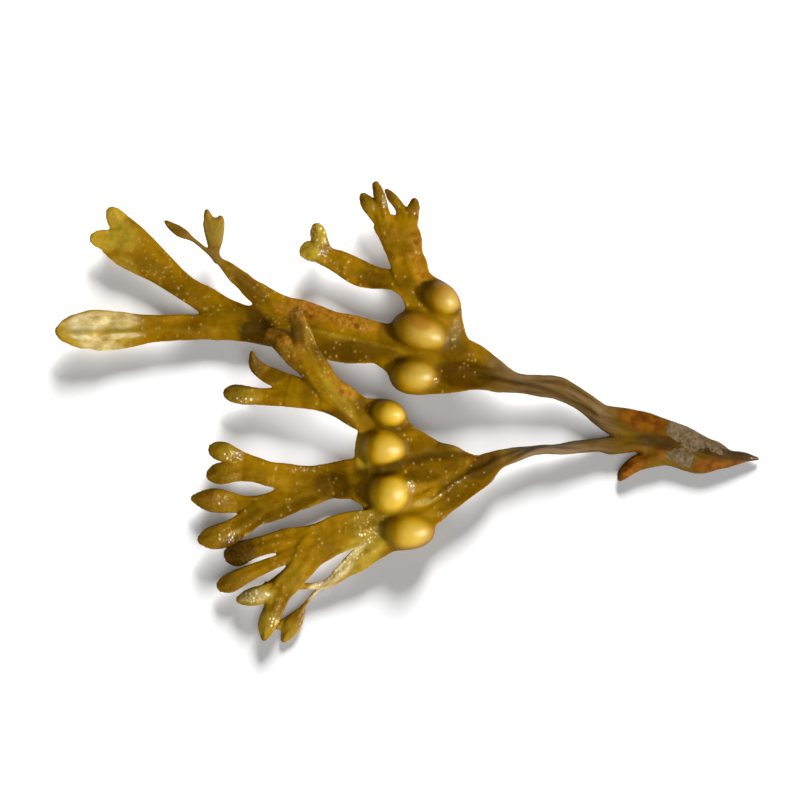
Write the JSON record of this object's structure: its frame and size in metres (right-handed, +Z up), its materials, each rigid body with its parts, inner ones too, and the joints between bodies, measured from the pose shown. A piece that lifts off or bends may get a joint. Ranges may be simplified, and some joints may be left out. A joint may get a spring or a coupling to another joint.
{
  "type": "bladderwrack frond",
  "caption": "Torn-off frond of bladderwrack with forked flat blades, round air bladders, swollen warty tips and a pointed leathery base, lying flat.",
  "frame": {"origin": "on the surface that the frond lies on, under the middle of its bounding box", "axes": "+X from the blade tips to the torn base, +Y across the frond towards its finger arm, +Z up"},
  "size_m": [0.1406, 0.0927, 0.0106],
  "materials": {
    "torn_base": "wet, leathery, rust brown with greyish patches",
    "stipe": "wet, ribbed along its length, grey brown",
    "blade": "wet, half translucent, olive gold with pale dots"
  },
  "bodies": {
    "root": {"base": "torn_base", "upper_stipe": "stipe", "lower_stipe": "stipe", "upper_bladder_blade": "blade", "long_blade": "blade", "notched_blade": "blade", "tongue_blade": "blade", "thin_shoot": "blade", "receptacle_arm": "blade", "finger_arm": "blade", "lower_bladder_blade": "blade", "crossing_blade": "blade", "middle_blade": "blade", "bottom_blade": "blade", "strap_strand": "blade"}
  },
  "joints": []
}
